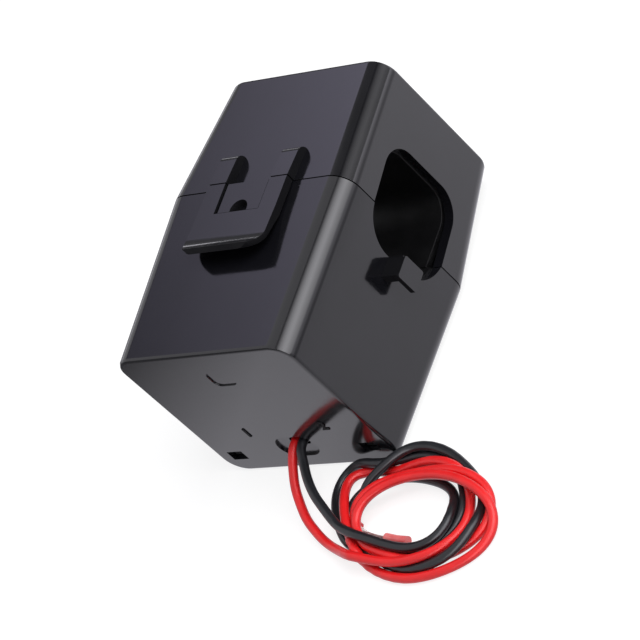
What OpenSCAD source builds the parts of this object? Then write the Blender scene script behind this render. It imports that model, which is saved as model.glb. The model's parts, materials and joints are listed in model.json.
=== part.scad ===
// Split-core current transformer: a hinged plastic housing that clamps a two-piece
// core round a cable, with a sprung latch, cable-tie hooks and two coiled leads.
// X runs along the cable, Y along the housing with the lid at +Y, Z from back to latch.

/* [Housing] */
// Width of the housing along the cable, at the split
body_w = 35; // [34:0.5:40]
// Depth of the housing from its back to its latch face, at the split
body_d = 31.2; // [31:0.1:34]
// Length of the base, from the lead end to the split
base_len = 28.5; // [28:0.5:34]
// Length of the lid, from the split to its end
lid_len = 21.5; // [21:0.5:26]
// Wall of the two housings
wall = 1.6; // [1.2:0.1:1.7]
// Radius of the housing's long edges
corner_r = 3.3; // [2.5:0.1:4]
// Rounding of the edges at both ends
edge_r = 0.6; // [0.3:0.1:1]
// How much each side of the base closes in towards the lead end
base_side_draft = 0.8; // [0.2:0.1:1]
// How much the latch face of the base closes in towards the lead end
base_front_draft = 0.9; // [0.2:0.1:1]
// How much each side of the lid closes in towards its end
lid_side_draft = 2; // [0.5:0.1:2.2]
// How much the latch face of the lid closes in towards its end
lid_front_draft = 1; // [0.5:0.1:1.2]
// How much the back of the lid closes in towards its end
lid_back_draft = 1.7; // [0.5:0.1:1.8]
// Gap that shows between the lid and the base
split_gap = 0.2; // [0.1:0.05:0.3]

/* [Cable window] */
// Depth of the housing on each side of the window, where the core's legs run
core_room = 7.1; // [6.9:0.05:8]
// How far the window reaches into the base
window_base = 5.2; // [4.5:0.1:6]
// How far the window reaches into the lid
window_lid = 11.5; // [10:0.1:11.8]
// Corner radius of the window in the base
window_base_r = 6.2; // [3:0.1:6.5]
// Corner radius of the window in the lid
window_lid_r = 4.5; // [2:0.1:6]
// Wall of the two liners behind the window's edge
liner_wall = 0.9; // [0.7:0.1:1]
// How far the liners stand into the window past the housing's edge
liner_step = 0.25; // [0.1:0.05:0.4]
// Thickness of the liners' plates at the split
liner_plate = 1.2; // [1:0.1:1.5]

/* [Core and winding] */
// Width of the core along the cable
core_w = 12; // [10:0.5:13]
// Clearance round the core and between inner pieces
fit_gap = 0.1; // [0.05:0.01:0.15]
// Wall of the bobbin
bobbin_wall = 0.8; // [0.6:0.1:1]
// Build of the secondary winding
winding_t = 3.8; // [3:0.1:4]
// Thickness of the tape round the winding
tape_t = 0.2; // [0.1:0.05:0.3]
// Thickness of the terminal board
board_t = 1; // [0.8:0.1:1.6]
// Thickness of the spring steel behind the lid's core
spring_t = 0.3; // [0.2:0.05:0.4]

/* [Hinge] */
// Height of the hinge pin above the back
hinge_h = 1.1; // [1.1:0.05:1.15]
// Radius of the hinge barrels
barrel_r = 1.05; // [0.9:0.05:1.05]
// Radius of the hinge pin
pin_r = 0.4; // [0.3:0.05:0.5]
// Running clearance round the pin in the lid's barrel
pin_play = 0.04; // [0.02:0.01:0.08]
// Length of the lid's barrel
barrel_mid = 10; // [8:0.5:12]
// Length of each of the base's two barrels
barrel_side = 5; // [4:0.5:6]
// Clearance round and between the barrels
barrel_gap = 0.2; // [0.15:0.05:0.25]

/* [Latch] */
// Width of the latch
latch_w = 15.3; // [14.5:0.1:17]
// Width of the slot between the latch's arms
latch_slot = 8.7; // [8.4:0.1:9.2]
// How far the latch's arms stand out from the face
latch_t = 1.56; // [1.3:0.02:1.8]
// Length of the latch's arms, from the split to the crossbar
latch_arm = 5.5; // [5.3:0.1:6]
// Length of the lip below the crossbar's top edge
lip_len = 7.6; // [7:0.1:9]
// Corner radius of the lip
lip_r = 3.4; // [2:0.1:3.8]
// Angle at which the lip leaves the face
lip_slope = 2; // [0:1:6]
// Angle of the lip at its edge
lip_flare = 48; // [40:1:54]
// Radius of the lip's flare
lip_bend_r = 4.2; // [3.4:0.1:4.6]
// Thickness of the lip at its edge
lip_t = 0.9; // [0.7:0.05:1.1]
// Length of the two pads on the lid that carry the latch
pad_len = 5.7; // [4.5:0.1:7]
// Width of the catch block
catch_w = 7.9; // [7:0.1:8.1]
// How far the catch block's top lies below the latch's arms
catch_set = 0.3; // [0:0.05:0.4]
// Radius of the half-round notch in the catch block
notch_r = 1.65; // [1.2:0.05:1.9]
// Clearance between the latch and what is round it
latch_gap = 0.15; // [0.1:0.05:0.2]

/* [Cable-tie hooks] */
// How far a hook stands out from the side
hook_reach = 3.25; // [2.8:0.05:4]
// Height of the hook's plate
hook_plate_w = 4.5; // [4:0.1:5]
// Length of the hook's plate
hook_plate_l = 3.6; // [3:0.1:4.5]
// Thickness of the hook's plate
hook_plate_t = 0.85; // [0.7:0.05:1.2]
// Thickness of the hook's stem
hook_stem_t = 1.5; // [1.2:0.1:2]

/* [Lead end] */
// Width of the lead exit
exit_w = 7.2; // [6.5:0.1:8]
// Height of the lead exit
exit_h = 5.1; // [4.6:0.1:5.6]
// Distance of the lead exit's centre from the back
exit_z = 5.5; // [5.2:0.1:6]
// Depth of the potting's face inside the exit
seal_set = 0.4; // [0.2:0.1:0.8]
// Thickness of the potting
seal_t = 2.4; // [2:0.1:3]
// Depth of the well in the potting round the leads
well_t = 1.2; // [0.6:0.1:1.6]
// Radius of a lead over its insulation
lead_r = 0.72; // [0.6:0.02:0.75]
// Distance between the two leads at the exit
lead_pitch = 1.5; // [1.5:0.05:2]
// Distance of a snap hole's centre from the side
snap_in = 4.65; // [4.4:0.05:5.5]
// Width of a snap hole
snap_w = 2.9; // [2.4:0.1:3.2]
// Height of a snap hole
snap_h = 2.1; // [1.8:0.1:2.4]
// Distance of the snap holes from the back
snap_z = 4.2; // [4:0.05:5]
// Width of the rounded recess near the latch face
recess_w = 4.2; // [3:0.1:5]
// Height of the rounded recess
recess_h = 3.5; // [2.6:0.1:4.2]
// Depth of the rounded recess
recess_t = 0.2; // [0.1:0.05:0.4]
// Corner radius of the rounded recess
recess_r = 1.1; // [0.6:0.1:1.4]

/* [Lead coil] */
// Height of the loose coil of leads
coil_h = 4.6; // [4:0.1:6]
// Width of the oval coil
coil_w = 33; // [31:0.5:36]
// Depth of the oval coil
coil_d = 21.5; // [20:0.5:23]
// Width of the turns that lie side by side
coil_band = 7.4; // [6.5:0.1:8]

/* [Hidden] */
$fn = 48;
hull_fn = 32;
skin = 0.02;
far = 60;

y_exit = -(base_len + lid_len) / 2;
y_split = y_exit + base_len;
y_end = y_split + lid_len;
y_base_top = y_split - split_gap / 2;
y_lid_foot = y_split + split_gap / 2;
z_mid = body_d / 2;
window_w = body_d - 2 * core_room;
window_lo = y_split - window_base;
window_hi = y_split + window_lid;
liner_half = window_w / 2 + liner_wall;

// The core's legs fill the room between the liners and the hinge's boss.
boss_skin = 0.4;
boss_len = 3.5;
boss_z = hinge_h + barrel_r + barrel_gap + boss_skin;
leg_in = liner_half + fit_gap;
leg_out = z_mid - boss_z - fit_gap;
leg_t = leg_out - leg_in;
pole_gap = 0.02;
flange_lip = 0.5;
coil_half_y = leg_t / 2 + fit_gap + bobbin_wall + winding_t;
coil_half_x = core_w / 2 + fit_gap + bobbin_wall + winding_t;
flange_half_y = coil_half_y + tape_t + flange_lip;
flange_half_x = coil_half_x + tape_t + flange_lip;
y_yoke = window_lo - liner_wall - fit_gap - flange_half_y;
y_board = y_yoke - flange_half_y - fit_gap;
y_seal = y_exit + seal_set;
// The leads leave off centre, near the top of the exit.
lead_shift = 1.05;
lead_up = 0.9;
lead_x = [lead_shift - lead_pitch / 2, lead_shift + lead_pitch / 2];
lead_z = exit_z + lead_up;
recess_z = z_mid + 8.3;

// Housing outline at any Y.
function half_w(y) = body_w / 2 - (y < y_split
    ? base_side_draft * (y_split - y) / base_len
    : lid_side_draft * (y - y_split) / lid_len);
function front_z(y) = body_d - (y < y_split
    ? base_front_draft * (y_split - y) / base_len
    : lid_front_draft * (y - y_split) / lid_len);
function back_z(y) = y < y_split ? 0 : lid_back_draft * (y - y_split) / lid_len;
function arc(cy, cz, r, a0, a1, steps) =
    [for (i = [0:steps]) let (a = a0 + (a1 - a0) * i / steps) [cy + r * cos(a), cz + r * sin(a)]];

module along_y(y0, y1) {
    translate([0, y1, 0]) rotate([90, 0, 0]) linear_extrude(y1 - y0) children();
}
module along_x(x0, x1) {
    translate([x0, 0, 0]) rotate([90, 0, 90]) linear_extrude(x1 - x0) children();
}
module block(x0, x1, y0, y1, z0, z1) {
    translate([x0, y0, z0]) cube([x1 - x0, y1 - y0, z1 - z0]);
}
module rounded(w, h, r) {
    square([w - 2 * r, h], center = true);
    square([w, h - 2 * r], center = true);
    for (x = [-1, 1], y = [-1, 1])
        translate([x * (w / 2 - r), y * (h / 2 - r)]) circle(r);
}

// One thin slice of the housing, drawn in by inset; up says which way it is thick.
module slice(y, inset, up) {
    z0 = back_z(y) + inset;
    z1 = front_z(y) - inset;
    translate([0, 0, (z0 + z1) / 2])
        along_y(up ? y : y - skin, up ? y + skin : y)
            rounded(2 * (half_w(y) - inset), z1 - z0, max(corner_r - inset, 0.8), $fn = hull_fn);
}
module end_slices(y, up) {
    s = up ? 1 : -1;
    slice(y, edge_r, up);
    slice(y + s * edge_r * (1 - cos(45)), edge_r * (1 - sin(45)), up);
    slice(y + s * edge_r, 0, up);
}
module base_outer() {
    hull() {
        end_slices(y_exit, true);
        slice(y_base_top, 0, false);
    }
}
module lid_outer() {
    hull() {
        end_slices(y_end, false);
        slice(y_lid_foot, 0, true);
    }
}
module base_inner() {
    hull() {
        slice(y_exit + wall, wall, true);
        slice(y_split + 1, wall, false);
    }
}
module lid_inner() {
    hull() {
        slice(y_end - wall, wall, false);
        slice(y_split - 1, wall, true);
    }
}

// The window's outline in the YZ plane, grown outwards by g; each half has its own corners.
module window_base_2d(g) {
    top = y_split + far / 2;
    lo = window_lo - g;
    translate([(lo + top) / 2, z_mid]) rounded(top - lo, window_w + 2 * g, window_base_r + g);
}
module window_lid_2d(g) {
    foot = y_split - far / 2;
    hi = window_hi + g;
    translate([(foot + hi) / 2, z_mid]) rounded(hi - foot, window_w + 2 * g, window_lid_r + g);
}

// Hinge: both back edges are cut back to a groove whose point is the pin's axis.
module hinge_groove() {
    depth = hinge_h + 0.2;
    along_x(-far / 2, far / 2) translate([y_split, hinge_h])
        polygon([[0, 0], [-depth * tan(50), -depth], [depth * tan(50), -depth]]);
}
module at_hinge(x0, x1, r) {
    translate([x0, y_split, hinge_h]) rotate([0, 90, 0]) cylinder(r = r, h = x1 - x0);
}
barrel_in = barrel_mid / 2 + barrel_gap;
barrel_out = barrel_in + barrel_side;
module base_barrels(r) {
    for (s = [-1, 1]) at_hinge(s > 0 ? barrel_in : -barrel_out, s > 0 ? barrel_out : -barrel_in, r);
}

module exit_2d(g) {
    w = exit_w + 2 * g;
    h = exit_h + 2 * g;
    translate([0, exit_z]) rounded(w, h, h / 2 - 0.05);
}
module at_snap_holes() {
    for (s = [-1, 1]) translate([s * (body_w / 2 - snap_in), 0, snap_z]) children();
}

catch_lo = y_split - latch_arm + 2 * latch_gap;
module catch_block() {
    difference() {
        block(-catch_w / 2, catch_w / 2, catch_lo, y_base_top, body_d - wall / 2, body_d + latch_t - catch_set);
        translate([0, catch_lo + 0.3, front_z(catch_lo) - 0.1])
            cylinder(r = notch_r, h = latch_t + 1);
    }
}
hook_hi = window_lo;
module tie_hook() {
    y0 = hook_hi - hook_plate_l;
    x_face = half_w(y0);
    x_out = x_face + hook_reach;
    z_top = z_mid + 2;
    translate([0, (y0 + hook_hi) / 2, z_top - hook_plate_w / 2])
        along_x(x_out - hook_plate_t, x_out) rounded(hook_plate_l, hook_plate_w, 0.35);
    block(x_face - wall / 2, x_out - hook_plate_t / 2, y0 + 0.2, hook_hi, z_top - hook_stem_t, z_top);
}

module base_housing() {
    color("#3a3a40")
    difference() {
        union() {
            difference() {
                union() {
                    difference() {
                        base_outer();
                        base_inner();
                    }
                    intersection() {
                        base_outer();
                        block(-far / 2, far / 2, y_split - boss_len, y_split, 0, boss_z);
                    }
                }
                hinge_groove();
                at_hinge(-barrel_in, barrel_in, barrel_r + barrel_gap);
            }
            base_barrels(barrel_r);
            catch_block();
            tie_hook();
            mirror([1, 0, 0]) tie_hook();
        }
        along_x(-far / 2, far / 2) window_base_2d(0);
        along_y(y_exit - 1, y_exit + wall + 1) exit_2d(0);
        at_snap_holes() block(-snap_w / 2, snap_w / 2, y_exit - 1, y_exit + wall + 1, -snap_h / 2, snap_h / 2);
        translate([0, 0, recess_z]) along_y(y_exit - 1, y_exit + recess_t) rounded(recess_w, recess_h, recess_r);
        base_barrels_bore();
    }
}
module base_barrels_bore() {
    at_hinge(-barrel_out, barrel_out, pin_r + fit_gap / 5);
}

// The liner closes the base, forms the lower half of the window and snaps into the lead end.
module base_liner() {
    x_fit = half_w(y_split - window_base) - wall - fit_gap;
    y_top = y_base_top;
    z_lo = boss_z + fit_gap;
    z_hi = front_z(y_split - liner_plate) - wall - fit_gap;
    color("#2e2e33")
    union() {
        difference() {
            along_x(-x_fit, x_fit) window_base_2d(liner_wall);
            along_x(-far / 2, far / 2) window_base_2d(-liner_step);
            block(-far / 2, far / 2, y_top, y_split + far, -far, far);
        }
        difference() {
            translate([0, 0, (z_lo + z_hi) / 2])
                along_y(y_top - liner_plate, y_top) rounded(2 * x_fit, z_hi - z_lo, corner_r - wall);
            along_x(-far / 2, far / 2) window_base_2d(liner_wall / 2);
            core_sockets(y_split - window_base - 1, y_split + 1);
        }
        at_snap_holes() snap_leg();
    }
}
module snap_leg() {
    w = snap_w - 4 * fit_gap;
    h = snap_h - 4 * fit_gap;
    y_tip = y_exit + wall / 2;
    block(-w / 2, w / 2, y_tip, y_base_top - liner_plate / 2, -h / 2, h / 2);
}
module core_sockets(y0, y1) {
    for (s = [-1, 1])
        translate([0, 0, z_mid + s * (leg_in + leg_out) / 2])
            block(-core_w / 2 - fit_gap, core_w / 2 + fit_gap, y0, y1, -leg_t / 2 - fit_gap, leg_t / 2 + fit_gap);
}

// Base core: two straight stacks stand on the ends of a yoke bar that passes through the bobbin.
module core_leg(side) {
    color("#6f6f72")
    translate([0, 0, z_mid + side * (leg_in + leg_out) / 2])
        block(-core_w / 2, core_w / 2, y_yoke - leg_t / 2, y_split - pole_gap / 2, -leg_t / 2, leg_t / 2);
}
module core_leg_back() {
    core_leg(-1);
}
module core_leg_front() {
    core_leg(1);
}
module base_yoke() {
    color("#77777a")
    block(-core_w / 2, core_w / 2, y_yoke - leg_t / 2, y_yoke + leg_t / 2, z_mid - leg_in, z_mid + leg_in);
}
flange_t = 1;
bobbin_half = leg_in - fit_gap;
module bobbin_section(half_x, half_y, z0, z1, r) {
    translate([0, y_yoke, z0]) linear_extrude(z1 - z0) rounded(2 * half_x, 2 * half_y, r);
}
module bobbin() {
    tube_x = core_w / 2 + fit_gap + bobbin_wall;
    tube_y = leg_t / 2 + fit_gap + bobbin_wall;
    color("#e8e4d8")
    difference() {
        union() {
            bobbin_section(tube_x, tube_y, z_mid - bobbin_half, z_mid + bobbin_half, 0.4);
            for (s = [-1, 1])
                translate([0, 0, s > 0 ? bobbin_half - flange_t : -bobbin_half])
                    bobbin_section(flange_half_x, flange_half_y, z_mid, z_mid + flange_t, 1);
            board_posts();
        }
        block(-core_w / 2 - fit_gap, core_w / 2 + fit_gap, y_yoke - leg_t / 2 - fit_gap,
              y_yoke + leg_t / 2 + fit_gap, 0, body_d);
    }
}
post_x = 6;
post_half = 0.6;
post_end = 0.4;
module board_posts() {
    for (s = [-1, 1])
        block(s * post_x - post_half, s * post_x + post_half, y_board - board_t - post_end, y_yoke - flange_half_y + 0.5,
              z_mid - bobbin_half, z_mid - bobbin_half + flange_t);
}
module winding() {
    z = bobbin_half - flange_t - fit_gap / 2;
    color("#b4683a")
    difference() {
        bobbin_section(coil_half_x, coil_half_y, z_mid - z, z_mid + z, 1.5);
        bobbin_section(core_w / 2 + fit_gap + bobbin_wall, leg_t / 2 + fit_gap + bobbin_wall, 0, body_d, 0.4);
    }
}
module winding_tape() {
    z = bobbin_half - flange_t - 2 * fit_gap;
    color("#e2b93b")
    difference() {
        bobbin_section(coil_half_x + tape_t, coil_half_y + tape_t, z_mid - z, z_mid + z, 1.5 + tape_t);
        bobbin_section(coil_half_x, coil_half_y, 0, body_d, 1.5);
    }
}

// The board hangs on two posts of the bobbin; each lead is soldered to a pin in it.
board_w = 15;
board_h = 7;
board_drop = 3;
pin_wire_r = 0.35;
pin_stub = 1.2;
module terminal_board() {
    z0 = z_mid - bobbin_half - board_drop;
    color("#2f6b3f")
    difference() {
        block(-board_w / 2, board_w / 2, y_board - board_t, y_board, z0, z0 + board_h);
        for (s = [-1, 1])
            block(s * post_x - post_half - fit_gap, s * post_x + post_half + fit_gap, y_board - board_t - 1, y_board + 1,
                  z_mid - bobbin_half - fit_gap, z_mid - bobbin_half + flange_t + fit_gap);
        for (x = lead_x)
            translate([x, y_board + 1, lead_z]) rotate([90, 0, 0]) cylinder(r = pin_wire_r, h = board_t + 2);
    }
}
module terminal_pin(x) {
    color("#c9b27a")
    translate([x, y_board, lead_z]) rotate([90, 0, 0]) cylinder(r = pin_wire_r, h = board_t + pin_stub);
}
module lead_inner(x, tint) {
    color(tint)
    difference() {
        translate([x, y_board - board_t - fit_gap, lead_z]) rotate([90, 0, 0])
            cylinder(r = lead_r, h = y_board - board_t - 2 * fit_gap - y_seal);
        translate([x, y_board, lead_z]) rotate([90, 0, 0])
            cylinder(r = pin_wire_r + fit_gap / 5, h = board_t + pin_stub + fit_gap);
    }
}
module terminal_pin_1() {
    terminal_pin(lead_x[0]);
}
module terminal_pin_2() {
    terminal_pin(lead_x[1]);
}
module red_lead_inner() {
    lead_inner(lead_x[0], "#e0322f");
}
module black_lead_inner() {
    lead_inner(lead_x[1], "#323437");
}
// Room round the leads in the well.
well_room = 0.25;
module exit_seal() {
    color("#8a8a8c")
    difference() {
        along_y(y_seal, y_seal + seal_t) exit_2d(-fit_gap / 5);
        for (x = lead_x)
            translate([x, y_seal + seal_t + 1, lead_z]) rotate([90, 0, 0])
                cylinder(r = lead_r + fit_gap / 5, h = seal_t + 2);
        translate([lead_shift, 0, lead_z])
            along_y(y_seal - 1, y_seal + well_t)
                rounded(lead_pitch + 2 * lead_r + 2 * well_room, 2 * lead_r + 2 * well_room, lead_r);
    }
}
module hinge_pin() {
    color("#b9bcc0")
    at_hinge(-barrel_out + fit_gap, barrel_out - fit_gap, pin_r);
}

module latch_pads() {
    z_far = front_z(y_lid_foot + pad_len);
    for (s = [-1, 1])
        translate([s * (latch_w + latch_slot) / 4, 0, 0])
            along_x(-(latch_w - latch_slot) / 4, (latch_w - latch_slot) / 4)
                polygon(concat([[y_lid_foot, body_d - wall], [y_lid_foot, body_d + latch_t]],
                    arc(y_lid_foot + pad_len - latch_t, z_far, latch_t, 90, 0, 8),
                    [[y_lid_foot + pad_len, body_d - wall]]));
}
module lid_housing() {
    color("#3a3a40")
    difference() {
        union() {
            difference() {
                union() {
                    difference() {
                        lid_outer();
                        lid_inner();
                    }
                    intersection() {
                        lid_outer();
                        block(-far / 2, far / 2, y_split, y_split + boss_len, 0, boss_z);
                    }
                }
                hinge_groove();
                for (s = [-1, 1])
                    at_hinge(s > 0 ? barrel_mid / 2 : -barrel_out - barrel_gap,
                             s > 0 ? barrel_out + barrel_gap : -barrel_mid / 2, barrel_r + barrel_gap);
            }
            at_hinge(-barrel_mid / 2, barrel_mid / 2, barrel_r);
            latch_pads();
        }
        along_x(-far / 2, far / 2) window_lid_2d(0);
        at_hinge(-barrel_mid / 2 - 1, barrel_mid / 2 + 1, pin_r + pin_play);
    }
}
module lid_liner() {
    x_fit = half_w(window_hi + liner_wall) - wall - fit_gap;
    plate_top = y_lid_foot + liner_plate;
    color("#2e2e33")
    difference() {
        union() {
            intersection() {
                along_x(-x_fit, x_fit) window_lid_2d(liner_wall);
                block(-far, far, y_lid_foot, y_end, 0, body_d);
            }
            translate([0, 0, (boss_z + front_z(plate_top) - wall) / 2])
                along_y(y_lid_foot, plate_top)
                    rounded(2 * x_fit, front_z(plate_top) - wall - boss_z - 2 * fit_gap, corner_r - wall);
        }
        along_x(-far / 2, far / 2) window_lid_2d(-liner_step);
        core_sockets(y_split - 1, y_split + window_lid / 2);
    }
}

// Lid core: one U of the same section, with rounded outer corners.
lid_yoke_y = window_hi + liner_wall + fit_gap + leg_t / 2;
module lid_core() {
    top = lid_yoke_y + leg_t / 2;
    r = leg_t;
    color("#6f6f72")
    difference() {
        intersection() {
            block(-core_w / 2, core_w / 2, y_split + pole_gap / 2, top, z_mid - leg_out, z_mid + leg_out);
            translate([0, top / 2, z_mid]) along_x(-core_w / 2, core_w / 2)
                translate([0, 0]) rounded(top, 2 * leg_out, r);
        }
        block(-far, far, y_exit, lid_yoke_y - leg_t / 2, z_mid - leg_in, z_mid + leg_in);
    }
}
// A bowed leaf of spring steel holds the lid's core against the base's.
spring_span = 14;
spring_half_w = 4;
module core_spring() {
    room = y_end - wall - (lid_yoke_y + leg_t / 2) - 2 * fit_gap;
    rise = room - spring_t;
    r = (spring_span * spring_span / 4 + rise * rise) / (2 * rise);
    half = asin(spring_span / 2 / r);
    y_c = lid_yoke_y + leg_t / 2 + fit_gap + r + spring_t;
    color("#b9bcc0")
    along_x(-spring_half_w, spring_half_w)
        polygon(concat(arc(y_c, z_mid, r, 180 - half, 180 + half, 20),
                       arc(y_c, z_mid, r + spring_t, 180 + half, 180 - half, 20)));
}

// Latch: two arms hang from the lid's pads and join in a crossbar with a flared lip.
lip_y = y_split - latch_arm + 0.3;
lip_foot = y_split - latch_arm - lip_len;
lip_run = (lip_y - lip_foot - lip_bend_r * (sin(lip_flare) - sin(lip_slope)) - lip_t * sin(lip_flare)) / cos(lip_slope);
module latch_side_2d() {
    top = body_d + latch_t;
    foot = body_d + latch_gap;
    bend_y = lip_y - lip_run * cos(lip_slope);
    bend_z = top + lip_run * sin(lip_slope);
    cy = bend_y + lip_bend_r * sin(lip_slope);
    cz = bend_z + lip_bend_r * cos(lip_slope);
    steps = 8;
    outer = [for (i = [0:steps]) let (a = lip_slope + (lip_flare - lip_slope) * i / steps)
        [cy - lip_bend_r * sin(a), cz - lip_bend_r * cos(a)]];
    inner = [for (i = [steps:-1:0]) let (a = lip_slope + (lip_flare - lip_slope) * i / steps)
        [cy - (lip_bend_r + lip_t) * sin(a), cz - (lip_bend_r + lip_t) * cos(a)]];
    polygon(concat([[y_base_top, foot], [y_base_top, top], [lip_y, top]], outer, inner,
                   [[lip_y - 0.8, foot]]));
}
module latch() {
    y_low = y_split - far / 2;
    color("#3a3a40")
    intersection() {
        along_x(-latch_w / 2, latch_w / 2) latch_side_2d();
        difference() {
            union() {
                block(-latch_w / 2, latch_w / 2, lip_foot + lip_r, y_split, body_d, body_d + far);
                block(-latch_w / 2 + lip_r, latch_w / 2 - lip_r, y_low, y_split, body_d, body_d + far);
                for (s = [-1, 1])
                    translate([s * (latch_w / 2 - lip_r), lip_foot + lip_r, body_d]) cylinder(r = lip_r, h = far);
            }
            block(-latch_slot / 2, latch_slot / 2, y_split - latch_arm, y_split + 1, 0, body_d + far);
        }
    }
}

// Leads: round numbers from the mouth of the exit down to where the coil begins.
red_route = [[0, 0, 0], [0, -1.2, 0], [0.05, -2.2, -0.3], [0.2, -3.4, -0.7], [1, -6.4, -1.8],
             [2, -8.6, -2.8], [3.8, -11.2, -3.8], [6.3, -13.4, -4.7], [8.3, -14.8, -5.1]];
black_route = [[0, 0, 0], [0, -1.2, 0], [0.3, -2.2, -0.2], [0.9, -3.5, -0.6], [2.4, -6.1, -1.1],
               [4.2, -8.4, -1.6], [6.3, -10.4, -2.2], [8.9, -12.6, -2.9], [10.4, -13.4, -3.4]];
function unit(v) = v / norm(v);
function heading(path, i) = unit(path[min(i + 1, len(path) - 1)] - path[max(i - 1, 0)]);
function ring(path, i, r, sides) =
    let (t = heading(path, i), s = unit(cross(t, [0, 0, 1])), u = cross(s, t))
    [for (k = [0:sides - 1]) let (a = 360 * k / sides) path[i] + r * (cos(a) * s + sin(a) * u)];
module tube(path, r, sides = 8) {
    n = len(path);
    points = [for (i = [0:n - 1]) each ring(path, i, r, sides)];
    sides_faces = [for (i = [0:n - 2], k = [0:sides - 1])
        let (a = i * sides + k, b = i * sides + (k + 1) % sides) [a, b, b + sides, a + sides]];
    start = [[for (k = [sides - 1:-1:0]) k]];
    finish = [[for (k = [0:sides - 1]) (n - 1) * sides + k]];
    polyhedron(points, concat(sides_faces, start, finish));
}
function smooth(path, i, t) =
    let (a = path[max(i - 1, 0)], b = path[i], c = path[i + 1], d = path[min(i + 2, len(path) - 1)])
    0.5 * (2 * b + (c - a) * t + (2 * a - 5 * b + 4 * c - d) * t * t + (3 * b - a - 3 * c + d) * t * t * t);
function rounded_route(path, steps) =
    concat([for (i = [0:len(path) - 2], k = [0:steps - 1]) smooth(path, i, k / steps)],
           [path[len(path) - 1]]);
module red_lead() {
    color("#e0322f") translate([lead_x[0], y_seal, lead_z]) tube(rounded_route(red_route, 2), lead_r);
}
module black_lead() {
    color("#323437") translate([lead_x[1], y_seal, lead_z]) tube(rounded_route(black_route, 2), lead_r);
}

// Both leads lie in one loose oval coil on the surface that the housing rests on.
coil_x = 21.7;
coil_y = y_exit - 9.4;
coil_turn = -15;
coil_gap = 0.3;
module racetrack(w, d) {
    square([w - d, d], center = true);
    for (s = [-1, 1]) translate([s * (w - d) / 2, 0]) circle(d / 2);
}
module lead_coil() {
    color("#8a2c2c")
    difference() {
        translate([coil_x, coil_y, 0]) rotate([0, 0, coil_turn]) linear_extrude(coil_h)
            difference() {
                racetrack(coil_w, coil_d);
                racetrack(coil_w - 2 * coil_band, coil_d - 2 * coil_band + 2);
            }
        block(-far, half_w(y_exit) + coil_gap, y_exit - coil_gap, y_split, -1, coil_h + 1);
    }
}

base_housing();
base_liner();
core_leg_back();
core_leg_front();
base_yoke();
bobbin();
winding();
winding_tape();
terminal_board();
terminal_pin_1();
terminal_pin_2();
red_lead_inner();
black_lead_inner();
exit_seal();
hinge_pin();
lid_housing();
lid_liner();
lid_core();
core_spring();
latch();
red_lead();
black_lead();
lead_coil();
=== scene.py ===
"""Dresses the split-core current transformer: moulded shells, latch, leads, core and winding."""

import json
import math

import bmesh
import bpy
import numpy as np
from mathutils import Matrix, Vector

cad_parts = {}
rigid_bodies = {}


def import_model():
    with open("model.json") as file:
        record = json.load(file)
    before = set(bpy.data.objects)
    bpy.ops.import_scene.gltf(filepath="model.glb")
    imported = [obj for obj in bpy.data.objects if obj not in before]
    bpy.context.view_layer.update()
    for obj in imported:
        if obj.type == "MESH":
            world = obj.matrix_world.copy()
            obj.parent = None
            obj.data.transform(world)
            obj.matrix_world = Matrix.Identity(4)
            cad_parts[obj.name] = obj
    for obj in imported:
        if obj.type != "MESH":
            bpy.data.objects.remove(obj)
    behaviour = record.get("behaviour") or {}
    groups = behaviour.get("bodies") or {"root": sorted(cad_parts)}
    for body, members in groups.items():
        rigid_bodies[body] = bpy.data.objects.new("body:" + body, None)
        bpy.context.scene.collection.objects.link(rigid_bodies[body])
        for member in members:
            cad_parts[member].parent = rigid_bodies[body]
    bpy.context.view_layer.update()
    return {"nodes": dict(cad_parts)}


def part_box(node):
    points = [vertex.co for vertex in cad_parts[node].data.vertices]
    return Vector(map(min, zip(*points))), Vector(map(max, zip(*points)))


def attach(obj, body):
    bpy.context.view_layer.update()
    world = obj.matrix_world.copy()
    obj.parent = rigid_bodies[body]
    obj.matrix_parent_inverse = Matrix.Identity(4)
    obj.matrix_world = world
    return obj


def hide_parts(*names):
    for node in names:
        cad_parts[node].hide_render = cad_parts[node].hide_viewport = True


MM = 0.001

# ---------------------------------------------------------------- frame
for leftover in list(bpy.data.objects):
    bpy.data.objects.remove(leftover)
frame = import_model()
scene = bpy.context.scene
scene.view_settings.view_transform = "Standard"

# Places that the leads start from: the mouth of the exit, in the potting's face.
seal_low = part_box("exit_seal")[0]
red_low, red_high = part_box("red_lead_inner")
black_low, black_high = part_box("black_lead_inner")
LEAD_R = (red_high.x - red_low.x) / 2
exit_height = (red_low.z + red_high.z) / 2
RED_EXIT = Vector(((red_low.x + red_high.x) / 2, seal_low.y, exit_height))
BLACK_EXIT = Vector(((black_low.x + black_high.x) / 2, seal_low.y, exit_height))
shell_low, shell_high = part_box("base_housing")
latch_low, latch_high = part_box("latch")


# ---------------------------------------------------------------- camera
LENS_MM, SENSOR_MM = 189.417, 36.0
CAMERA_AT = (0.32531, -0.22908, 0.30970)
CAMERA_RIGHT = (0.7504, 0.3084, -0.5847)
CAMERA_UP = (0.0767, 0.8379, 0.5405)
CAMERA_BACK = (0.6566, -0.4504, 0.6050)


def make_camera():
    """A long lens above and in front of the lead end's right corner."""
    data = bpy.data.cameras.new("camera")
    data.lens = LENS_MM
    data.sensor_width = SENSOR_MM
    data.clip_start, data.clip_end = 0.02, 20.0
    camera = bpy.data.objects.new("camera", data)
    turn = Matrix((CAMERA_RIGHT, CAMERA_UP, CAMERA_BACK)).transposed().to_4x4()
    camera.matrix_world = Matrix.Translation(CAMERA_AT) @ turn
    scene.collection.objects.link(camera)
    scene.camera = camera


make_camera()


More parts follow.
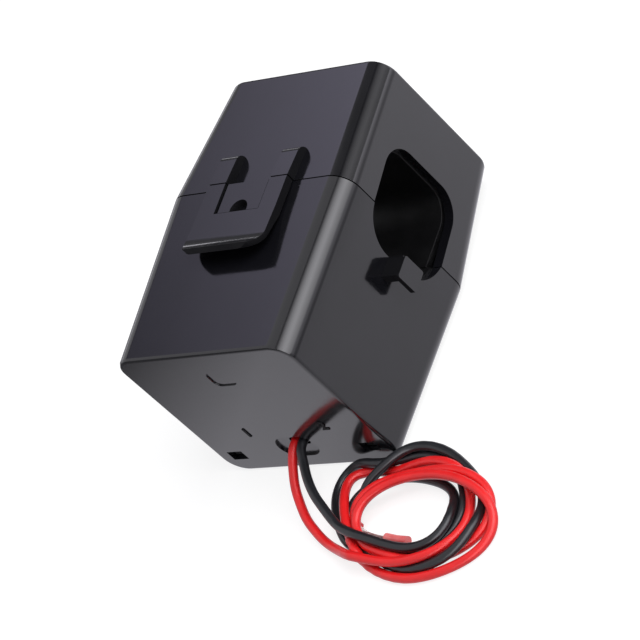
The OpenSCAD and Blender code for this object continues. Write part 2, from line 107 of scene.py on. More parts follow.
# ---------------------------------------------------------------- leads' routes
# From the seal face to where each lead meets the others, offsets in mm, as the CAD has them.
RED_ROUTE = [(0, 0, 0), (0, -1.2, 0), (0.05, -2.2, -0.3), (0.2, -3.4, -0.7), (1, -6.4, -1.8),
             (2, -8.6, -2.8), (3.8, -11.2, -3.8), (6.3, -13.4, -4.7), (8.3, -14.8, -5.1)]
BLACK_ROUTE = [(0, 0, 0), (0, -1.2, 0), (0.3, -2.2, -0.2), (0.9, -3.5, -0.6), (2.4, -6.1, -1.1),
               (4.2, -8.4, -1.6), (6.3, -10.4, -2.2), (8.9, -12.6, -2.9), (10.4, -13.4, -3.4)]
# Stations in mm that each lead is laid through, before it settles. Each row of each
# turn goes along the front, up the right, back along the face and down the left.
RED_TURNS = [
    (12, -40.75, 1.75), (15, -41.75, 2.25), (18, -42.75, 2.5), (22, -43.25, 2.25), (26.5, -43, 2.25),
    (29, -42.25, 2.25), (31, -40.75, 2), (32.25, -38.75, 1.5), (32.75, -36.25, 1), (32.25, -33.75, 0.9),
    (31.25, -31, 1.25), (29.75, -29.25, 2), (27.5, -27.75, 2.25), (24.5, -26.75, 2), (20.75, -26.5, 1.5),
    (17.5, -27, 0.9), (15, -27.5, 0.75), (12.25, -26.8, 0.9), (10.4, -26.5, 1.4), (9.3, -27.4, 1.9),
    (8.75, -29, 2.25), (9, -31.25, 2), (10.25, -34, 2), (12, -36.75, 2), (14, -39.5, 1.5),
    # the outermost turn
    (15.5, -41, 0.75), (18, -42.5, 0.75), (20.75, -43.75, 0.75), (24, -44.5, 0.75), (27.25, -44.5, 0.75),
    (30, -44.25, 0.75), (32.75, -43.25, 0.75), (35, -42, 0.75), (37, -40, 0.75), (37.75, -38.25, 0.9),
    (37.75, -36.5, 1.25), (37, -34.25, 2.5), (35.5, -33.25, 3.25), (33.25, -32, 3.75), (31, -31, 3.75),
    (28, -30.25, 3.75), (25.5, -30, 3.75), (23, -30, 3.5), (20.75, -30.25, 3.5), (18, -31, 3.5),
    (16, -32.25, 3.5), (14.5, -33.5, 3.5), (13.25, -34.75, 2.75), (13.25, -36.25, 2.25), (14, -38, 2.25),
    # the last turn, low on the right and up over the others along the face
    (15, -39.75, 1.5), (18, -41, 0.75), (21.75, -42.25, 0.75), (25.25, -42.5, 0.75), (28, -42.25, 0.75),
    (30.75, -41.5, 0.75), (33, -40.25, 0.75), (35, -39, 0.75), (35.75, -37.25, 0.75), (36, -35.5, 0.9),
    (36.25, -33, 1.5), (35.25, -31.75, 2.25), (33.5, -30.5, 2.5), (31.5, -29.75, 2.75), (28.5, -28.75, 2.5),
    (25.25, -28.5, 2.5), (22.25, -28.75, 2.4), (19.25, -29.25, 2.5), (16.5, -30.1, 2.6), (14.3, -31.2, 2.6),
    (12.6, -32.4, 2.4), (11.7, -33.6, 2.2), (11.6, -35, 2.0), (12.4, -36.6, 1.8), (13.3, -37.6, 1.7)]
BLACK_TURNS = [
    (15, -39.25, 3.75), (18.25, -40, 3.25), (20.5, -40.5, 2.75), (23.5, -41, 2.25), (26.25, -41, 2.25),
    (28.5, -40, 2.25), (30, -38.5, 2), (30.5, -36.25, 1.5), (30, -34, 1), (29.25, -32.25, 0.75),
    (27.75, -30.75, 0.75), (25.25, -29.75, 0.75), (22.75, -29, 0.75), (20, -28.5, 0.75),
    (17.5, -28.25, 0.75),
    (15.25, -28.75, 0.75), (13, -29.75, 0.75), (11.5, -31.25, 0.75), (10, -32.25, 0.75), (9.75, -34, 0.75),
    (10.75, -36, 0.75), (12.5, -38, 0.75),
    # second turn
    (15.5, -39.5, 0.75), (19, -40.75, 0.75), (22.25, -41.25, 0.75), (25.25, -41, 0.75),
    (27.25, -40.25, 0.75),
    (29.25, -38.75, 0.75), (30.5, -36.75, 0.75), (30.75, -34.5, 0.75), (30.5, -32.75, 0.75),
    (30, -30.75, 0.75),
    (28.75, -28.75, 0.75), (26.75, -27, 0.75), (24.25, -25.5, 0.75), (21.75, -24.75, 0.75),
    (19.5, -24.5, 0.75),
    (18, -25.25, 1.25), (16.75, -26.5, 2), (14.75, -27, 2.25), (12, -27, 2), (8.5, -26.25, 1),
    (6.75, -27.25, 0.75), (6, -29, 0.75), (6.25, -31.25, 0.75), (7.5, -33.75, 0.75), (9.25, -36.5, 0.75),
    (11.75, -38.75, 0.75),
    # third turn, which ends under the inner reds
    (14.5, -40.5, 0.75), (17.5, -41.75, 0.75), (21.25, -43, 0.9), (25.5, -43.75, 1), (28.75, -43.5, 1.5),
    (31.5, -42.5, 1.75), (33.25, -41.25, 2), (34.75, -39.25, 2), (35, -37.25, 1.5), (35, -35.5, 1.25),
    (34.5, -33.5, 0.75), (33.25, -31.5, 0.75), (31, -29, 0.75), (28, -26.75, 0.75), (25.75, -25.5, 1.25),
    (23, -24.5, 1.5), (20.5, -24, 1.75), (18.75, -24, 2), (17.5, -25, 2.25), (16.75, -26.25, 2.25),
    (15.5, -27.5, 2.25), (13.6, -28.6, 2.1), (12.2, -29.9, 1.6), (11.5, -31.4, 0.9), (11.6, -33, 0.75)]

STEP = 0.9  # mm between points while a lead settles
R_MM = LEAD_R / MM
HELD = 19  # points next to the exit that keep the CAD's route
SHELL_HALF = 16.72  # mm, half width of the shell where leads tuck under its rounded edge
SHELL_CORNER = 3.3  # mm, radius of the shell's long edges
SLACK = 0.03  # mm kept between turns and from the shell
SAME_TURN = int(3.2 / STEP)  # points that near along one lead never push each other
PUSH, SIDEWAYS, STIFFNESS, SLACKEN = 0.3, 0.7, 0.45, 0.01
EARLY_HOLD, LATE_HOLD, LATE_FROM = 0.02, 0.006, 0.7
SHELL_MID = (shell_low.z + shell_high.z) / 2 / MM
LEAD_FACE = shell_low.y / MM


def smooth_path(stations, step):
    """One smooth curve through the stations, in even steps."""
    p = np.array(stations, float)
    n = len(p)
    t = np.r_[0, np.cumsum(np.linalg.norm(np.diff(p, axis=0), axis=1) ** 0.5)]
    slope = np.array([(p[min(i + 1, n - 1)] - p[max(i - 1, 0)]) / (t[min(i + 1, n - 1)] - t[max(i - 1, 0)])
                      for i in range(n)])
    fine = []
    for i in range(n - 1):
        h = t[i + 1] - t[i]
        for s in np.linspace(0, 1, 24, endpoint=False):
            fine.append((2 * s ** 3 - 3 * s ** 2 + 1) * p[i] + (s ** 3 - 2 * s ** 2 + s) * h * slope[i]
                        + (-2 * s ** 3 + 3 * s ** 2) * p[i + 1] + (s ** 3 - s ** 2) * h * slope[i + 1])
    fine = np.array(fine + [p[-1]])
    run = np.r_[0, np.cumsum(np.linalg.norm(np.diff(fine, axis=0), axis=1))]
    even = np.linspace(0, run[-1], int(round(run[-1] / step)) + 1)
    return np.stack([np.interp(even, run, fine[:, c]) for c in range(3)], 1)


def out_of_shell(x, radius):
    """Pushes points that are closer than a lead's radius to the shell straight out of it."""
    half_h = SHELL_MID
    qx = np.abs(x[:, 0]) - (SHELL_HALF - SHELL_CORNER)
    qz = np.abs(x[:, 2] - half_h) - (half_h - SHELL_CORNER)
    ox, oz = np.maximum(qx, 0), np.maximum(qz, 0)
    corner = np.hypot(ox, oz)
    side = corner + np.minimum(np.maximum(qx, qz), 0) - SHELL_CORNER
    face = LEAD_FACE - x[:, 1]
    both = (side > 0) & (face > 0)
    away = np.where(both, np.hypot(side, face), np.maximum(side, face))
    push = np.where(away < radius, radius - away, 0)
    gx = np.where(corner > 1e-9, ox / np.maximum(corner, 1e-9), (qx > qz).astype(float))
    gz = np.where(corner > 1e-9, oz / np.maximum(corner, 1e-9), (qz >= qx).astype(float))
    gz = gz * np.sign(x[:, 2] - half_h)
    ws = np.where(both, side / np.maximum(away, 1e-9), (side >= face).astype(float))
    wf = np.where(both, face / np.maximum(away, 1e-9), (face > side).astype(float))
    moved = x.copy()
    moved[:, 0] += push * ws * gx * np.sign(x[:, 0])
    moved[:, 1] -= push * wf
    moved[:, 2] += push * ws * gz
    return moved


def settle(paths, rounds):
    """Lets the leads settle: turns push apart to a diameter, wire keeps its bends easy, and
    nothing sinks into the table or the shell."""
    whose = np.concatenate([np.full(len(p), k) for k, p in enumerate(paths)])
    place = np.concatenate([np.arange(len(p)) for p in paths])
    x = np.concatenate(paths)
    laid = x.copy()
    near = (whose[:, None] == whose[None, :]) & (abs(place[:, None] - place[None, :]) <= SAME_TURN)
    free = np.where(place < HELD, 0.0, 1.0)[:, None]
    loose = place >= HELD
    apart = 2 * R_MM + SLACK
    for turn in range(rounds):
        d = x[:, None] - x[None, :]
        dist = np.sqrt((d ** 2).sum(2)) + 1e-9
        over = np.where(near, 0, np.clip(apart - dist, 0, None))
        shove = (d * (over / dist)[:, :, None]).sum(1) * np.array([SIDEWAYS, SIDEWAYS, 1.0]) * PUSH
        bend = np.zeros_like(x)
        start = 0
        for p in paths:
            n = len(p)
            y = x[start:start + n]
            lap = np.zeros_like(y)
            lap[1:-1] = (y[:-2] + y[2:]) / 2 - y[1:-1]
            bow = np.zeros_like(y)
            bow[2:-2] = (lap[1:-3] + lap[3:-1]) / 2 - lap[2:-2]
            bend[start:start + n] = -bow * STIFFNESS + lap * SLACKEN
            start += n
        hold = EARLY_HOLD if turn < rounds * LATE_FROM else LATE_HOLD
        x = x + free * (shove + bend + (laid - x) * hold)
        x[:, 2] = np.maximum(x[:, 2], R_MM)
        x[loose] = out_of_shell(x[loose], R_MM + SLACK)
        x[:, 2] = np.maximum(x[:, 2], R_MM)
    split = len(paths[0])
    return [x[:split], x[split:]]


def from_exit(mouth, route, turns):
    return [tuple(mouth / MM + Vector(p)) for p in route] + list(turns)


red_path, black_path = settle(
    [smooth_path(from_exit(RED_EXIT, RED_ROUTE, RED_TURNS), STEP),
     smooth_path(from_exit(BLACK_EXIT, BLACK_ROUTE, BLACK_TURNS), STEP)],
    rounds=500)


# ---------------------------------------------------------------- finishes
def shade(code):
    """An sRGB hex colour as linear RGBA."""
    parts = [int(code[i:i + 2], 16) / 255 for i in (1, 3, 5)]
    return tuple(c / 12.92 if c <= 0.04045 else ((c + 0.055) / 1.055) ** 2.4 for c in parts) + (1.0,)


def add(tree, kind, values=(), links=()):
    """Adds one node: values are its inputs or its settings by name, links feed its inputs."""
    node = tree.nodes.new(kind)
    for name, value in dict(values).items():
        if isinstance(name, int) or name in node.inputs:
            node.inputs[name].default_value = value
        else:
            setattr(node, name, value)
    for name, source in dict(links).items():
        tree.links.new(source if isinstance(source, bpy.types.NodeSocket) else source.outputs[0],
                       node.inputs[name])
    return node


def new_finish(name, values):
    """A material with its shader and Object coordinates, to which each finish adds its own detail."""
    material = bpy.data.materials.new(name)
    material.use_nodes = True
    tree = material.node_tree
    tree.nodes.clear()
    shader = add(tree, "ShaderNodeBsdfPrincipled", values)
    add(tree, "ShaderNodeOutputMaterial", links={"Surface": shader})
    place = add(tree, "ShaderNodeTexCoord").outputs["Object"]
    return material, tree, shader, place


def mottle(tree, place, size_mm, low, high, detail=3.0):
    """A soft noise with cells of a real size, spread from low to high."""
    noise = add(tree, "ShaderNodeTexNoise", {"Scale": 1000 / size_mm, "Detail": detail}, {"Vector": place})
    return add(tree, "ShaderNodeMapRange",
               {"From Min": 0.3, "From Max": 0.7, "To Min": low, "To Max": high},
               {"Value": noise})


def moulded_plastic(name, deep, pale, rough, peel, specular=0.5):
    """Injection moulded plastic: an even colour with slight flow marks, and the skin's faint
    orange peel, which softens what it mirrors."""
    material, tree, shader, place = new_finish(
        name, {"IOR": 1.54, "Specular IOR Level": specular})
    flow = mottle(tree, place, 9, 0, 1)
    tone = add(tree, "ShaderNodeMix", {"data_type": "RGBA", 6: shade(deep), 7: shade(pale)}, {0: flow})
    gloss = mottle(tree, place, 2.5, rough * 0.85, rough * 1.2)
    skin = add(tree, "ShaderNodeTexNoise", {"Scale": 1000 / 1.1, "Detail": 2.0}, {"Vector": place})
    bump = add(tree, "ShaderNodeBump", {"Strength": peel, "Distance": 0.00002}, {"Height": skin})
    tree.links.new(tone.outputs[2], shader.inputs["Base Color"])
    tree.links.new(gloss.outputs[0], shader.inputs["Roughness"])
    tree.links.new(bump.outputs[0], shader.inputs["Normal"])
    return material


def pvc_insulation(name, deep, pale, rough):
    """Extruded PVC on hook-up wire: a smooth waxy gloss with faint lengthwise unevenness."""
    material, tree, shader, place = new_finish(
        name, {"IOR": 1.53})
    cloud = mottle(tree, place, 3, 0, 1)
    tone = add(tree, "ShaderNodeMix", {"data_type": "RGBA", 6: shade(deep), 7: shade(pale)}, {0: cloud})
    gloss = mottle(tree, place, 0.8, rough * 0.95, rough * 1.1)
    skin = add(tree, "ShaderNodeTexNoise", {"Scale": 1000 / 0.6, "Detail": 2.0}, {"Vector": place})
    bump = add(tree, "ShaderNodeBump", {"Strength": 0.06, "Distance": 0.00002}, {"Height": skin})
    tree.links.new(tone.outputs[2], shader.inputs["Base Color"])
    tree.links.new(gloss.outputs[0], shader.inputs["Roughness"])
    tree.links.new(bump.outputs[0], shader.inputs["Normal"])
    return material


def bare_metal(name, deep, pale, rough, pitch_mm, axis, depth=0.00001):
    """Bare metal with fine parallel lines, such as rolling marks, wire turns or sheet edges."""
    material, tree, shader, place = new_finish(name, {"Metallic": 1.0})
    scale = 1000 / pitch_mm * 0.05 * math.tau / 2
    lines = add(tree, "ShaderNodeTexWave",
                {"bands_direction": axis, "Scale": scale, "Distortion": 0.4, "Detail": 1.0},
                {"Vector": place})
    tone = add(tree, "ShaderNodeMix", {"data_type": "RGBA", 6: shade(deep), 7: shade(pale)},
               {0: lines.outputs["Fac"]})
    gloss = mottle(tree, place, 1.5, rough * 0.8, rough * 1.2)
    bump = add(tree, "ShaderNodeBump", {"Strength": 0.5, "Distance": depth},
               {"Height": lines.outputs["Fac"]})
    tree.links.new(tone.outputs[2], shader.inputs["Base Color"])
    tree.links.new(gloss.outputs[0], shader.inputs["Roughness"])
    tree.links.new(bump.outputs[0], shader.inputs["Normal"])
    return material


# Polished mould: nearly black by itself, so the eye sees mostly what it mirrors.
GLOSS_BLACK = moulded_plastic("black_abs_moulded_gloss", "#0D0D10", "#121216", 0.12, 0.2, specular=0.62)
# Nylon liners: duller, so the window stays dark.
SATIN_BLACK = moulded_plastic("black_nylon_moulded_satin", "#0B0B0C", "#101011", 0.4, 0.5, specular=0.35)
# Matt black, deeper than the gloss and mirroring nothing: painted shade on the walls round the latch, the
# hooks' sides and the clip's sides, and it makes the raised numbers read black.
MATT_BLACK_AND_PAINTED_SHADE = moulded_plastic("black_abs_matt_and_painted_shade", "#08080A", "#0D0D0F", 0.6, 0.8, specular=0.1)
NATURAL_NYLON = moulded_plastic("natural_nylon_moulded", "#DAD3C0", "#E8E2D2", 0.42, 0.4)
# Insulation pulled off the wire: paler and glossier than the lead's.
SLUG_PVC = pvc_insulation("red_pvc_slug_pale", "#D9585A", "#EE8A88", 0.22)
RED_PVC = pvc_insulation("red_pvc_extruded", "#DE1A1C", "#EC2426", 0.3)
BLACK_PVC = pvc_insulation("black_pvc_extruded", "#18191C", "#212226", 0.3)
# Cast epoxy in the exit: dark and smooth with a soft shine.
POTTING = moulded_plastic("black_epoxy_cast", "#1C1C20", "#26262B", 0.2, 0.6)
BOARD_GREEN = moulded_plastic("green_glass_epoxy_board", "#1F5A33", "#2E7043", 0.3, 0.6)
TAPE_AMBER = moulded_plastic("amber_polyester_tape", "#D9A92A", "#E7C04A", 0.25, 0.2)
CORE_STEEL = bare_metal("silicon_steel_sheet_edges", "#6B6B70", "#98989C", 0.4, 0.35, "X")
COPPER = bare_metal("enamelled_copper_wire", "#8A3E1D", "#C0683A", 0.28, 0.2, "Z")
BRASS = bare_metal("tinned_brass_pin", "#B39A5E", "#D3BE86", 0.25, 0.3, "Y")
SPRING = bare_metal("spring_steel_rolled", "#8E9196", "#C3C6CA", 0.25, 0.15, "X")
# Fine tinned strands: pale and too rough to mirror, so they read as a light line.
TINNED = bare_metal("tinned_copper_strand", "#C6C2BE", "#ECE9E6", 0.5, 0.2, "Y")


# ---------------------------------------------------------------- pieces
def show(obj, body, material, stands_for=()):
    """Gives a piece its finish and ties it to its body."""
    obj.data.materials.clear()
    obj.data.materials.append(material)
    if obj.name not in scene.collection.objects:
        scene.collection.objects.link(obj)
    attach(obj, body)
    if stands_for:
        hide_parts(*stands_for)
    return obj


def frozen(obj):
    """The piece with its modifiers turned into plain mesh."""
    bpy.context.view_layer.update()
    depsgraph = bpy.context.evaluated_depsgraph_get()
    mesh = bpy.data.meshes.new_from_object(obj.evaluated_get(depsgraph))
    obj.modifiers.clear()
    old = obj.data
    obj.data = mesh
    if old.users == 0 and isinstance(old, bpy.types.Mesh):
        bpy.data.meshes.remove(old)
    mesh.name = obj.name
    return obj


def moulded_copy(node, name, edge_mm, body, material, shaded_walls=None):
    """A CAD solid with the small rounded edges that a mould leaves. Faces for which shaded_walls,
    given their middle in mm and their normal, is true get the darker matt black that paints shade on them."""
    mesh = frame["nodes"][node].data.copy()
    mesh.name = name
    work = bmesh.new()
    work.from_mesh(mesh)
    bmesh.ops.remove_doubles(work, verts=work.verts, dist=2e-6)
    bmesh.ops.dissolve_limit(work, angle_limit=math.radians(0.4), verts=work.verts, edges=work.edges)
    work.to_mesh(mesh)
    work.free()
    for attribute in [a for a in mesh.attributes if a.name in ("custom_normal", "sharp_edge")]:
        mesh.attributes.remove(attribute)
    obj = bpy.data.objects.new(name, mesh)
    scene.collection.objects.link(obj)
    edge = obj.modifiers.new("edge", "BEVEL")
    edge.width = edge_mm * MM
    edge.segments = 2
    edge.limit_method = "ANGLE"
    edge.angle_limit = math.radians(38)
    edge.use_clamp_overlap = True
    edge.miter_outer = "MITER_ARC"
    frozen(obj)
    obj.data.shade_smooth()
    obj.data.set_sharp_from_angle(angle=math.radians(42))
    normals = obj.modifiers.new("normals", "WEIGHTED_NORMAL")
    normals.weight = 90
    normals.keep_sharp = True
    frozen(obj)
    show(obj, body, material, (node,))
    if shaded_walls:
        # The chosen faces take the darker matt black: painted shade on them.
        obj.data.materials.append(MATT_BLACK_AND_PAINTED_SHADE)
        for face in obj.data.polygons:
            face.material_index = int(shaded_walls(face.center / MM, face.normal))
    return obj


OPEN_FACE = 0.5  # least part of a normal along its side's own direction


def shell_shaded_wall(middle, normal):
    """Walls round the latch and the sides of the hooks, which get painted shade."""
    under_latch = (middle.z > shell_high.z / MM - 3.2 and abs(middle.x) < latch_high.x / MM + 4
                   and latch_low.y / MM - 1 < middle.y < latch_high.y / MM + 9)
    on_hook = abs(middle.x) > SHELL_HALF + 0.6 and -9 < middle.y < 3
    return (under_latch and normal.z < OPEN_FACE) or (on_hook and abs(normal.x) < OPEN_FACE)


def clip_shaded_wall(middle, normal):
    """The latch clip's sides, underside and the end of its lip, which get painted shade."""
    return normal.z < 0.85


moulded_copy("base_housing", "base_shell", 0.16, "base", GLOSS_BLACK, shell_shaded_wall)
moulded_copy("lid_housing", "lid_shell", 0.16, "lid", GLOSS_BLACK, shell_shaded_wall)
moulded_copy("latch", "latch_clip_moulding", 0.16, "latch_clip", GLOSS_BLACK, clip_shaded_wall)

moulded_copy("base_liner", "base_liner_moulding", 0.12, "base", SATIN_BLACK)
moulded_copy("lid_liner", "lid_liner_moulding", 0.12, "lid", SATIN_BLACK)
moulded_copy("exit_seal", "exit_seal_cast", 0.1, "base", POTTING)

for node, finish in {
        "core_leg_back": CORE_STEEL,
        "core_leg_front": CORE_STEEL, "base_yoke": CORE_STEEL, "lid_core": CORE_STEEL,
        "bobbin": NATURAL_NYLON, "winding": COPPER, "winding_tape": TAPE_AMBER,
        "terminal_board": BOARD_GREEN, "terminal_pin_1": BRASS, "terminal_pin_2": BRASS,
        "red_lead_inner": RED_PVC, "black_lead_inner": BLACK_PVC,
        "hinge_pin": SPRING, "core_spring": SPRING}.items():
    mesh = frame["nodes"][node].data
    mesh.materials.clear()
    mesh.materials.append(finish)


# ---------------------------------------------------------------- leads
def lead_curve(name, path, radius):
    """A round lead along its settled path, in metres."""
    data = bpy.data.curves.new(name, "CURVE")
    data.dimensions = "3D"
    data.resolution_u = 3
    data.bevel_depth = radius
    data.bevel_resolution = 5
    data.use_fill_caps = True
    line = data.splines.new("POLY")
    fine = smooth_path(path, 0.45) * MM
    line.points.add(len(fine) - 1)
    for point, co in zip(line.points, fine):
        point.co = (*co, 1.0)
    line.use_smooth = True
    obj = bpy.data.objects.new(name, data)
    run = float(np.linalg.norm(np.diff(fine, axis=0), axis=1).sum())
    return obj, run


red_lead, red_run = lead_curve("red_lead_wire", red_path, LEAD_R)
show(red_lead, "base", RED_PVC, ("red_lead", "lead_coil"))
black_lead, black_run = lead_curve("black_lead_wire", black_path, LEAD_R)
show(black_lead, "base", BLACK_PVC, ("black_lead", "lead_coil"))


def tinned_tip(name, stations, strands, wire_r, twist_mm):
    """Bare tinned strands, twisted round a middle one, as stripped hook-up wire shows."""
    line = smooth_path(stations, 0.2)
    along = np.gradient(line, axis=0)
    along /= np.linalg.norm(along, axis=1)[:, None]
    side = np.cross(along, (0, 0, 1))
    side /= np.linalg.norm(side, axis=1)[:, None]
    up = np.cross(side, along)
    data = bpy.data.curves.new(name, "CURVE")
    data.dimensions = "3D"
    data.bevel_depth = wire_r * MM
    data.bevel_resolution = 2
    data.use_fill_caps = True
    run = np.arange(len(line)) * 0.2
    for k in range(strands):
        angle = math.tau * (k / (strands - 1) + run / twist_mm)
        out = 0 if k == strands - 1 else 2 * wire_r
        path = (line + out * (np.cos(angle)[:, None] * side + np.sin(angle)[:, None] * up)) * MM
        spline = data.splines.new("POLY")
        spline.points.add(len(path) - 1)
        for point, co in zip(spline.points, path):
            point.co = (*co, 1.0)
    obj = bpy.data.objects.new(name, data)
    scene.collection.objects.link(obj)
    return frozen_curve(obj)


def frozen_curve(obj):
    """A curve piece as plain mesh."""
    bpy.context.view_layer.update()
    mesh = bpy.data.meshes.new_from_object(obj.evaluated_get(bpy.context.evaluated_depsgraph_get()))
    mesh.name = obj.name
    name = obj.name
    bpy.data.objects.remove(obj)
    mesh.shade_smooth()
    solid = bpy.data.objects.new(name, mesh)
    scene.collection.objects.link(solid)
    return solid


tip_start = Vector(red_path[-1])
TIP = [tuple(tip_start), (tip_start.x + 1, tip_start.y - 0.5, 0.45), (16.25, -37.75, 0.35),
       (18.5, -38.25, 0.5), (19.75, -38.5, 0.72), (21, -38.75, 0.72)]
red_tip = show(tinned_tip("red_lead_tip", TIP, 7, 0.1, 5.0), "base", TINNED)
SLUG = np.array([(18.6, -38.3, 0.74), (20.75, -38.75, 0.74), (22.9, -39, 0.74)])
slug_curve = lead_curve("red_insulation_slug", SLUG, LEAD_R)[0]
scene.collection.objects.link(slug_curve)
slug = show(frozen_curve(slug_curve), "base", SLUG_PVC)


# ---------------------------------------------------------------- terminal numbers
NUMBER_SIZE, NUMBER_RISE, NUMBER_ROUND = 2.9, 0.09, 0.03  # mm


def terminal_number(name, digit, x_mm, z_mm):
    """A raised number on the lead end, its top towards the latch."""
    data = bpy.data.curves.new(name, "FONT")
    data.body = digit
    data.size = NUMBER_SIZE * MM
    data.extrude = NUMBER_RISE * MM
    data.bevel_depth = NUMBER_ROUND * MM
    data.bevel_resolution = 1
    data.align_x, data.align_y = "CENTER", "CENTER"
    data.offset = NUMBER_ROUND * MM
    obj = bpy.data.objects.new(name, data)
    scene.collection.objects.link(obj)
    solid = frozen_curve(obj)
    solid.data.transform(Matrix.Translation((x_mm * MM, shell_low.y - NUMBER_ROUND * MM, z_mm * MM))
                         @ Matrix.Rotation(math.radians(90), 4, "X"))
    return show(solid, "base", MATT_BLACK_AND_PAINTED_SHADE)


terminal_number("terminal_number_1", "1", -6.3, 9.9)
terminal_number("terminal_number_2", "2", 8.7, 10.3)


# ---------------------------------------------------------------- studio
def seen_by(tree, *rays):
    """1 for the kinds of ray named, 0 for the others."""
    path = add(tree, "ShaderNodeLightPath")
    total = path.outputs[rays[0]]
    for ray in rays[1:]:
        total = add(tree, "ShaderNodeMath", {"operation": "MAXIMUM"},
                    {0: total, 1: path.outputs[ray]}).outputs[0]
    return total


# Strengths that glossy plastic mirrors, as (position from 0 to 1, strength).
# The table's strengths are painted light and shade on it, seen only in reflections.
TABLE_SPAN = (-0.08, 0.12)  # m in x over which the table's strengths are laid
TABLE_PAINTED_GLOW_STOPS = [(0.09, 0.15), (0.3, 1.1), (0.4, 1.1), (0.5, 0.82), (0.58, 0.8), (0.63, 0.78),
               (0.66, 0.6), (0.7, 0.35), (0.8, 0.35), (1, 0.8)]
TABLE_TOP = 2
SKY_STOPS = [(0.0, 2.3), (0.1, 3.4), (0.18, 4.4), (0.25, 3.9), (0.33, 2.5),
             (0.385, 1.1), (0.42, 0.15), (0.45, 0.8), (1, 0.8)]  # from the right over to the left
SKY_TOP = 5
CARD_AT = (-0.088, 0.07, 0.103)
CARD_SIZE = (0.08, 0.12, 1, 1)


def blend_stops(tree, position, stops, top):
    """Strengths set at positions from 0 to 1, with an even blend between them."""
    ramp = add(tree, "ShaderNodeValToRGB", links={0: position})
    band = ramp.color_ramp
    while len(band.elements) < len(stops):
        band.elements.new(0.5)
    for element, (at, strength) in zip(band.elements, stops):
        element.position = at
        element.color = (strength / top,) * 3 + (1,)
    return add(tree, "ShaderNodeMath", {"operation": "MULTIPLY", 1: top}, {0: ramp})


def make_floor():
    """A white table: the lens sees it white with a faint contact shadow, and glossy plastic
    mirrors a glow painted on it, dimmer on the left and past the right: painted light and shade."""
    bpy.ops.mesh.primitive_grid_add(x_subdivisions=2, y_subdivisions=2, size=6)
    floor = bpy.context.object
    floor.name = "floor"
    material = bpy.data.materials.new("white_table")
    material.use_nodes = True
    tree = material.node_tree
    tree.nodes.clear()
    white = (1, 1, 1, 1)
    matt = add(tree, "ShaderNodeBsdfDiffuse", {"Color": (0.72, 0.72, 0.72, 1)})
    faint = add(tree, "ShaderNodeBsdfDiffuse", {"Color": (0.3, 0.3, 0.3, 1)})
    glow = add(tree, "ShaderNodeEmission", {"Color": white, "Strength": 0.8})
    place = add(tree, "ShaderNodeTexCoord").outputs["Object"]
    parts = add(tree, "ShaderNodeSeparateXYZ", links={0: place})
    across = add(tree, "ShaderNodeMapRange", {"From Min": TABLE_SPAN[0], "From Max": TABLE_SPAN[1]},
                 {"Value": parts.outputs["X"]})
    left_to_right = blend_stops(tree, across, TABLE_PAINTED_GLOW_STOPS, TABLE_TOP)
    depth = add(tree, "ShaderNodeMath", {"operation": "MULTIPLY_ADD", 1: 4.0, 2: 0.04},
                {0: parts.outputs["Y"]})
    level = add(tree, "ShaderNodeMath", {"operation": "ADD"}, {0: left_to_right, 1: depth})
    bound = add(tree, "ShaderNodeClamp", {"Min": 0.2, "Max": 2.0}, {"Value": level})
    # Painted light and shade: the table glows for glossy rays by place instead of being lit.
    painted_glow = add(tree, "ShaderNodeEmission", {"Color": shade("#F8F6FF")}, {"Strength": bound})
    to_lens = add(tree, "ShaderNodeAddShader", links={0: faint, 1: glow})
    gloss = add(tree, "ShaderNodeMixShader", links={
        0: seen_by(tree, "Is Glossy Ray", "Is Transmission Ray"), 1: matt, 2: painted_glow})
    pick = add(tree, "ShaderNodeMixShader", links={0: seen_by(tree, "Is Camera Ray"), 1: gloss, 2: to_lens})
    add(tree, "ShaderNodeOutputMaterial", links={"Surface": pick})
    floor.data.materials.append(material)


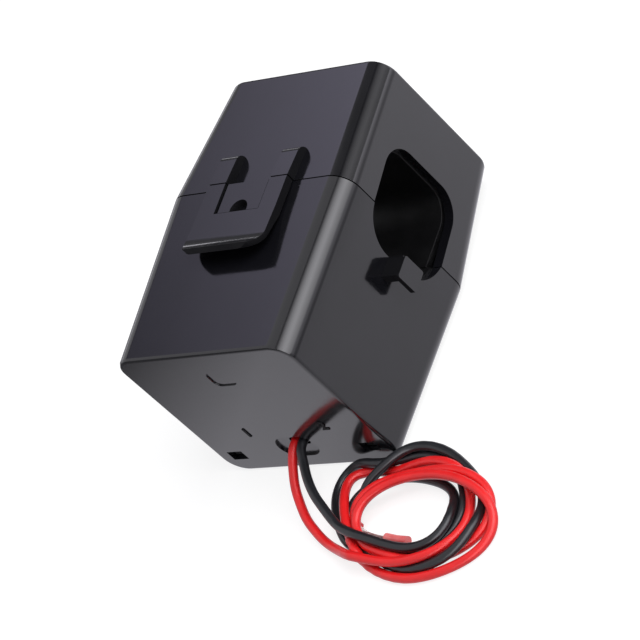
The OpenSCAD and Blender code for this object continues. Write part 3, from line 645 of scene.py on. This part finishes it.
def make_world():
    """White to the lens and a soft fill. Glossy plastic mirrors a tall soft light on the right
    with a dark gap above it, and a cooler, dimmer side on the left."""
    world = bpy.data.worlds.new("studio")
    scene.world = world
    world.use_nodes = True
    tree = world.node_tree
    tree.nodes.clear()
    ray = add(tree, "ShaderNodeTexCoord").outputs["Generated"]
    toward = add(tree, "ShaderNodeSeparateXYZ", links={0: ray})
    angle = add(tree, "ShaderNodeMath", {"operation": "ARCTAN2"},
                {0: toward.outputs["Z"], 1: toward.outputs["X"]})
    turn = add(tree, "ShaderNodeMapRange", {"From Min": 0.0, "From Max": math.pi}, {"Value": angle})
    arch = blend_stops(tree, turn, SKY_STOPS, SKY_TOP)
    far = add(tree, "ShaderNodeMapRange",
              {"From Min": 0.48, "From Max": 0.6, "To Min": 1.0, "To Max": 0.25},
              {"Value": toward.outputs["Y"]})
    level = add(tree, "ShaderNodeMath", {"operation": "MULTIPLY"}, {0: arch, 1: far})
    lens = add(tree, "ShaderNodeBackground", {"Color": (1, 1, 1, 1), "Strength": 1.0})
    mirrored = add(tree, "ShaderNodeBackground", {"Color": shade("#FBFAFF")}, {"Strength": level})
    fill = add(tree, "ShaderNodeBackground", {"Color": shade("#FAFAFF"), "Strength": 0.45})
    gloss = add(tree, "ShaderNodeMixShader", links={
        0: seen_by(tree, "Is Glossy Ray", "Is Transmission Ray"), 1: fill, 2: mirrored})
    pick = add(tree, "ShaderNodeMixShader", links={0: seen_by(tree, "Is Camera Ray"), 1: gloss, 2: lens})
    add(tree, "ShaderNodeOutputWorld", links={"Surface": pick})


def make_glowing_card():
    """A card up to the left that glows for reflections only, so the latch side mirrors it: a painted
    reflection, lighter to the right and to the back.
    """
    bpy.ops.mesh.primitive_plane_add(size=1)
    card = bpy.context.object
    card.name = "glowing_card"
    card.data.transform(Matrix.Translation(CARD_AT) @ Matrix.Diagonal(CARD_SIZE))
    material = bpy.data.materials.new("grey_glowing_card")
    material.use_nodes = True
    tree = material.node_tree
    tree.nodes.clear()
    place = add(tree, "ShaderNodeSeparateXYZ", links={0: add(tree, "ShaderNodeTexCoord").outputs["Object"]})
    along_x = add(tree, "ShaderNodeMath", {"operation": "MULTIPLY_ADD", 1: 12.0, 2: 1.41},
                  {0: place.outputs["X"]})
    both = add(tree, "ShaderNodeMath", {"operation": "MULTIPLY_ADD", 1: 6.2},
               {0: place.outputs["Y"], 2: along_x})
    painted_glow = add(tree, "ShaderNodeEmission", {"Color": shade("#E9E4FF")}, {"Strength": both})
    add(tree, "ShaderNodeOutputMaterial", links={"Surface": painted_glow})
    card.data.materials.append(material)
    card.visible_camera = card.visible_diffuse = card.visible_shadow = False


def area_lamp(name, toward, distance, width, height, power):
    """A softbox in a direction from the object, which it faces."""
    data = bpy.data.lights.new(name, "AREA")
    data.shape = "RECTANGLE"
    data.size, data.size_y, data.energy = width, height, power
    lamp = bpy.data.objects.new(name, data)
    aim = Vector((0, 0, 0.015))
    lamp.location = aim + Vector(toward).normalized() * distance
    lamp.rotation_mode = "QUATERNION"
    lamp.rotation_quaternion = (aim - lamp.location).to_track_quat("-Z", "Y")
    lamp.visible_camera = lamp.visible_glossy = False
    scene.collection.objects.link(lamp)


make_floor()
make_world()
make_glowing_card()
area_lamp("softbox_overhead", (0.55, 0.15, 0.75), 0.6, 0.46, 0.6, 3.6)
